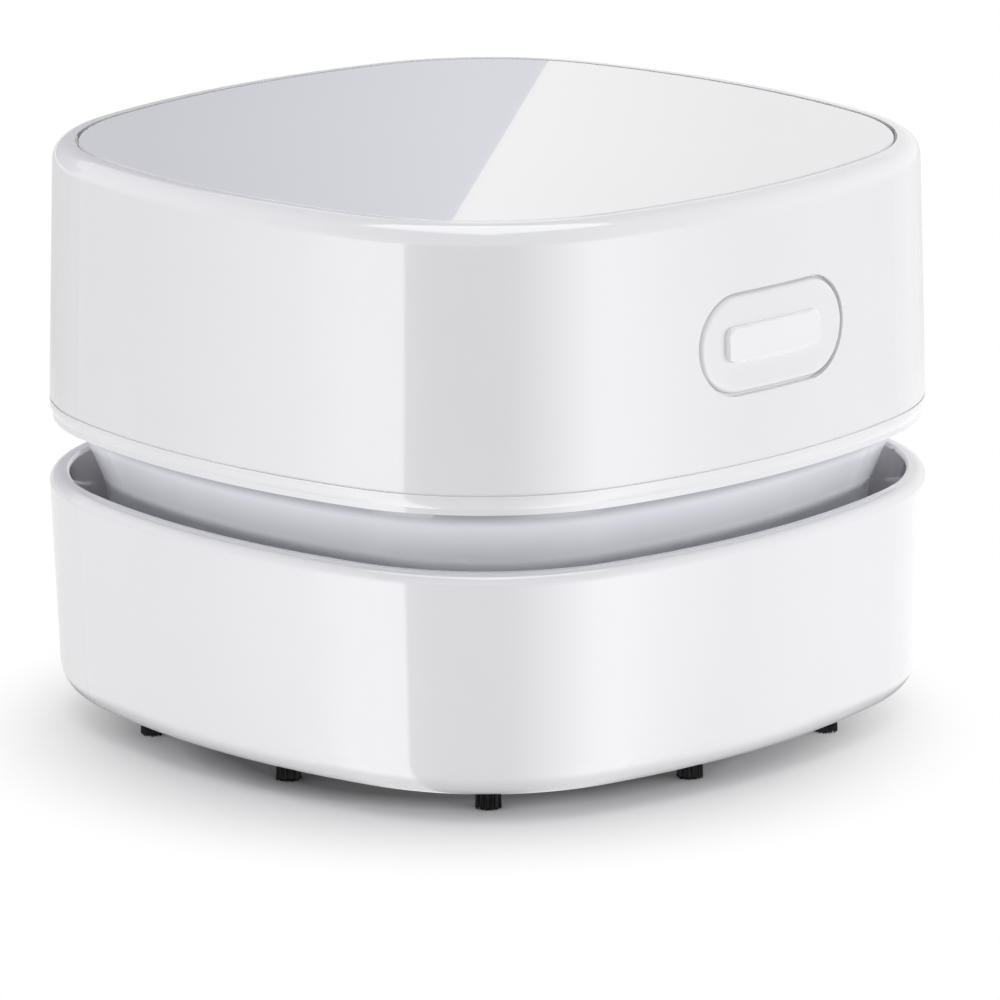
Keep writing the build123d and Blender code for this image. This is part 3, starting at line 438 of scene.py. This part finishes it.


# The floor is plain white paper away from the object and takes its shadow near it, deepened close under
# it by a painted shadow
floorSettings = {"radius": 3.0, "segments": 64, "colour": "#FAFAFA", "centre": (-8 * mm, -4.5 * mm, 0),
                 "plainFrom": 30 * mm, "plainTo": 56 * mm, "shadeFrom": 27 * mm, "shadeTo": 31.5 * mm,
                 "shade": (0.4, 1.0)}
form = bmesh.new()
bmesh.ops.create_circle(form, cap_ends=True, segments=floorSettings["segments"],
                        radius=floorSettings["radius"])
floor = newObject("floor", form)
paper, tree, place = bareMaterial("studioPaper")
floor.data.materials.append(paper)
centred = addNode(tree, "ShaderNodeVectorMath", {"operation": "SUBTRACT", 1: floorSettings["centre"]},
                  {0: place}).outputs["Vector"]
away = addNode(tree, "ShaderNodeVectorMath", {"operation": "LENGTH"}, {0: centred}).outputs["Value"]
path, seen = lightPath(tree)
fade = addNode(tree, "ShaderNodeMapRange", {"interpolation_type": "SMOOTHSTEP",
                                            "From Min": floorSettings["plainFrom"],
                                            "From Max": floorSettings["plainTo"]},
               {"Value": away}).outputs["Result"]
factor = addNode(tree, "ShaderNodeMath", {"operation": "MULTIPLY"}, {0: seen, 1: fade}).outputs[0]
# A painted shadow: close under the object the paper's colour is darkened for camera and mirror rays,
# while the light that it throws back stays pale
shade = addNode(tree, "ShaderNodeMapRange", {"From Min": floorSettings["shadeFrom"],
                                             "From Max": floorSettings["shadeTo"],
                                             "To Min": floorSettings["shade"][0],
                                             "To Max": floorSettings["shade"][1]},
                {"Value": away}).outputs["Result"]
paintedShadowFactor = addNode(tree, "ShaderNodeMix", {"data_type": "FLOAT", 2: 1.0}, {0: seen, 3: shade}).outputs[0]
colour = addNode(tree, "ShaderNodeMix", {"data_type": "RGBA", 6: black,
                                         7: linear(floorSettings["colour"])}, {0: paintedShadowFactor}).outputs[2]
diffuse = addNode(tree, "ShaderNodeBsdfDiffuse", links={"Color": colour}).outputs[0]
plain = addNode(tree, "ShaderNodeEmission", {"Color": white, "Strength": 1.0}).outputs[0]
mixed = addNode(tree, "ShaderNodeMixShader", links={0: factor, 1: diffuse, 2: plain}).outputs[0]
# The paper has one side, so the underside of the object can be looked at through it
below = addNode(tree, "ShaderNodeNewGeometry").outputs["Backfacing"]
clear = addNode(tree, "ShaderNodeBsdfTransparent").outputs[0]
mixed = addNode(tree, "ShaderNodeMixShader", links={0: below, 1: mixed, 2: clear}).outputs[0]
addNode(tree, "ShaderNodeOutputMaterial", links={"Surface": mixed})

# The surroundings are lighter near the horizon, like white walls under a plain ceiling
worldSettings = {"colour": "#FAFAFF", "horizon": 0.94, "ceiling": 0.2, "rise": 0.5}
world = bpy.data.worlds.new("studio")
bpy.context.scene.world = world
world.use_nodes = True
tree = world.node_tree
tree.nodes.clear()
path, seen = lightPath(tree)
outwards = addNode(tree, "ShaderNodeTexCoord").outputs["Generated"]
height = addNode(tree, "ShaderNodeSeparateXYZ", links={"Vector": outwards}).outputs["Z"]
light = addNode(tree, "ShaderNodeMapRange", {"From Max": worldSettings["rise"],
                                             "To Min": worldSettings["horizon"],
                                             "To Max": worldSettings["ceiling"]},
                {"Value": height}).outputs["Result"]
strength = addNode(tree, "ShaderNodeMix", {"data_type": "FLOAT", 3: 1.0},
                   {0: seen, 2: light}).outputs[0]
colour = addNode(tree, "ShaderNodeMix", {"data_type": "RGBA", 6: linear(worldSettings["colour"]),
                                         7: white}, {0: path.outputs["Is Camera Ray"]}).outputs[2]
sky = addNode(tree, "ShaderNodeBackground", links={"Color": colour, "Strength": strength})
addNode(tree, "ShaderNodeOutputWorld", links={"Surface": sky.outputs[0]})

lamps = {
    "softboxLeft": {"place": (-0.87, 0.29, 0.12), "size": (1.0, 0.2), "watts": 3.05, "mirrored": False},
    "softboxRight": {"place": (0.52, -0.81, 0.12), "size": (1.0, 0.2), "watts": 4.5, "mirrored": False},
    "softboxTop": {"place": (0.0, 0.0, 0.9), "size": (0.8, 0.8), "watts": 3.4, "mirrored": True},
}
lampAim = Vector((0, 0, 30 * mm))
for name, lamp in lamps.items():
    light = bpy.data.lights.new(name, "AREA")
    light.shape = "RECTANGLE"
    light.size, light.size_y = lamp["size"]
    light.energy = lamp["watts"]
    source = bpy.data.objects.new(name, light)
    source.visible_glossy = lamp["mirrored"]
    source.location = lamp["place"]
    source.rotation_euler = (lampAim - source.location).to_track_quat("-Z", "Y").to_euler()
    bpy.context.scene.collection.objects.link(source)


def reflectionBoard(name, corners):
    # A board that only reflections see, as softboxes and flags stand round a glossy object
    form = bmesh.new()
    form.faces.new([form.verts.new(corner) for corner in corners])
    board = newObject(name, form)
    board.visible_camera = board.visible_diffuse = False
    board.visible_shadow = board.visible_transmission = False
    cloth, tree, place = bareMaterial(name)
    cloth.cycles.emission_sampling = "NONE"
    board.data.materials.append(cloth)
    return tree, place


# Brightness of the board on the floor by direction round its centre, in degrees from +X
boardLight = {0: 0.9, 60: 0.75, 95: 0.6, 122: 0.65, 133: 0.85, 143: 1.15, 152: 1.45, 160: 2.0,
              186.6: 2.3, 187: 0.7, 200: 0.5, 235: 0.5, 245: 0.85, 257: 1.35, 265: 1.7, 276: 2.1,
              289: 1.95, 299: 1.4, 312: 0.9, 343: 0.75, 360: 0.9}
boardSettings = {"reach": 1.2, "height": 0.3 * mm, "centre": (-24.3 * mm, -24.3 * mm, 0),
                 "strongest": 2.5, "nearLight": 0.2, "nearFrom": 0.2, "nearTo": 0.12,
                 "corner": 12 * mm, "foot": 29 * mm, "clear": 32 * mm, "footLight": 0.4}
reach, height = boardSettings["reach"], boardSettings["height"]
tree, place = reflectionBoard("boardFloor", [(-reach, -reach, height), (reach, -reach, height),
                                             (reach, reach, height), (-reach, reach, height)])
centred = addNode(tree, "ShaderNodeVectorMath", {"operation": "SUBTRACT", 1: boardSettings["centre"]},
                  {0: place}).outputs["Vector"]
sides = addNode(tree, "ShaderNodeSeparateXYZ", links={"Vector": centred})
direction = addNode(tree, "ShaderNodeMath", {"operation": "ARCTAN2"},
                    {0: sides.outputs["Y"], 1: sides.outputs["X"]}).outputs[0]
turns = addNode(tree, "ShaderNodeMath", {"operation": "DIVIDE", 1: 2 * math.pi},
                {0: direction}).outputs[0]
turns = addNode(tree, "ShaderNodeMath", {"operation": "FRACT"}, {0: turns}).outputs[0]
ramp = addNode(tree, "ShaderNodeValToRGB", links={"Fac": turns})
steps = ramp.color_ramp.elements
steps.remove(steps[1])
for number, (degrees, brightness) in enumerate(boardLight.items()):
    step = steps[0] if number == 0 else steps.new(degrees / 360)
    step.position = degrees / 360
    step.color = [brightness / boardSettings["strongest"]] * 3 + [1]
glow = addNode(tree, "ShaderNodeEmission", {"Strength": boardSettings["strongest"]},
               {"Color": ramp.outputs["Color"]}).outputs[0]
# It is a little brighter near the object
away = addNode(tree, "ShaderNodeVectorMath", {"operation": "LENGTH"}, {0: place}).outputs["Value"]
closeBy = addNode(tree, "ShaderNodeMapRange", {"From Min": boardSettings["nearFrom"],
                                               "From Max": boardSettings["nearTo"],
                                               "To Max": boardSettings["nearLight"]},
                  {"Value": away}).outputs["Result"]
extra = addNode(tree, "ShaderNodeEmission", {"Color": white}, {"Strength": closeBy}).outputs[0]
glow = addNode(tree, "ShaderNodeAddShader", links={0: glow, 1: extra}).outputs[0]
# A painted shadow of the object's foot darkens the board's glow: the distance is measured from its
# rounded square
around = addNode(tree, "ShaderNodeVectorMath", {"operation": "ABSOLUTE"}, {0: place}).outputs["Vector"]
around = addNode(tree, "ShaderNodeVectorMath", {"operation": "SUBTRACT",
                                                1: [boardSettings["corner"]] * 3},
                 {0: around}).outputs["Vector"]
around = addNode(tree, "ShaderNodeVectorMath", {"operation": "MAXIMUM", 1: (0, 0, 0)},
                 {0: around}).outputs["Vector"]
around = addNode(tree, "ShaderNodeVectorMath", {"operation": "LENGTH"}, {0: around}).outputs["Value"]
clear = addNode(tree, "ShaderNodeMapRange", {"From Min": boardSettings["foot"],
                                             "From Max": boardSettings["clear"],
                                             "To Min": boardSettings["footLight"]},
                {"Value": around}).outputs["Result"]
dark = addNode(tree, "ShaderNodeEmission", {"Strength": 0.0}).outputs[0]
glow = addNode(tree, "ShaderNodeMixShader", links={0: clear, 1: dark, 2: glow}).outputs[0]
addNode(tree, "ShaderNodeOutputMaterial", links={"Surface": glow})

# Two boards stand behind the object, a grey one and a white one, and the lid mirrors the slanted edge
# between them. Their sides are given along the camera's level, first at the foot and then at the top
boardsBehind = {
    "boardBehindGrey": {"sides": (-1.4, 0.131, -0.198, -1.4), "from": -0.083, "to": -0.005,
                        "light": (0.64, 0.82), "colour": "#F4F4FF"},
    "boardBehindWhite": {"sides": (0.131, 1.4, 1.4, -0.198), "from": 0.0, "to": 0.064,
                         "light": (1.09, 0.98), "colour": "#FFFFFF"},
}
boardHeights = (0.05, 0.05, 0.6, 0.6)
behind = Vector((-back.x, -back.y, 0)).normalized()  # 1 m away
for name, settings in boardsBehind.items():
    corners = [behind + level * side + Vector((0, 0, height))
               for side, height in zip(settings["sides"], boardHeights)]
    tree, place = reflectionBoard(name, corners)
    across = addNode(tree, "ShaderNodeVectorMath", {"operation": "DOT_PRODUCT", 1: level},
                     {0: place}).outputs["Value"]
    strength = addNode(tree, "ShaderNodeMapRange", {"From Min": settings["from"],
                                                    "From Max": settings["to"],
                                                    "To Min": settings["light"][0],
                                                    "To Max": settings["light"][1]},
                       {"Value": across}).outputs["Result"]
    glow = addNode(tree, "ShaderNodeEmission", {"Color": linear(settings["colour"])},
                   {"Strength": strength})
    addNode(tree, "ShaderNodeOutputMaterial", links={"Surface": glow.outputs[0]})

bpy.context.scene.view_settings.view_transform = "Standard"

print("sizes")
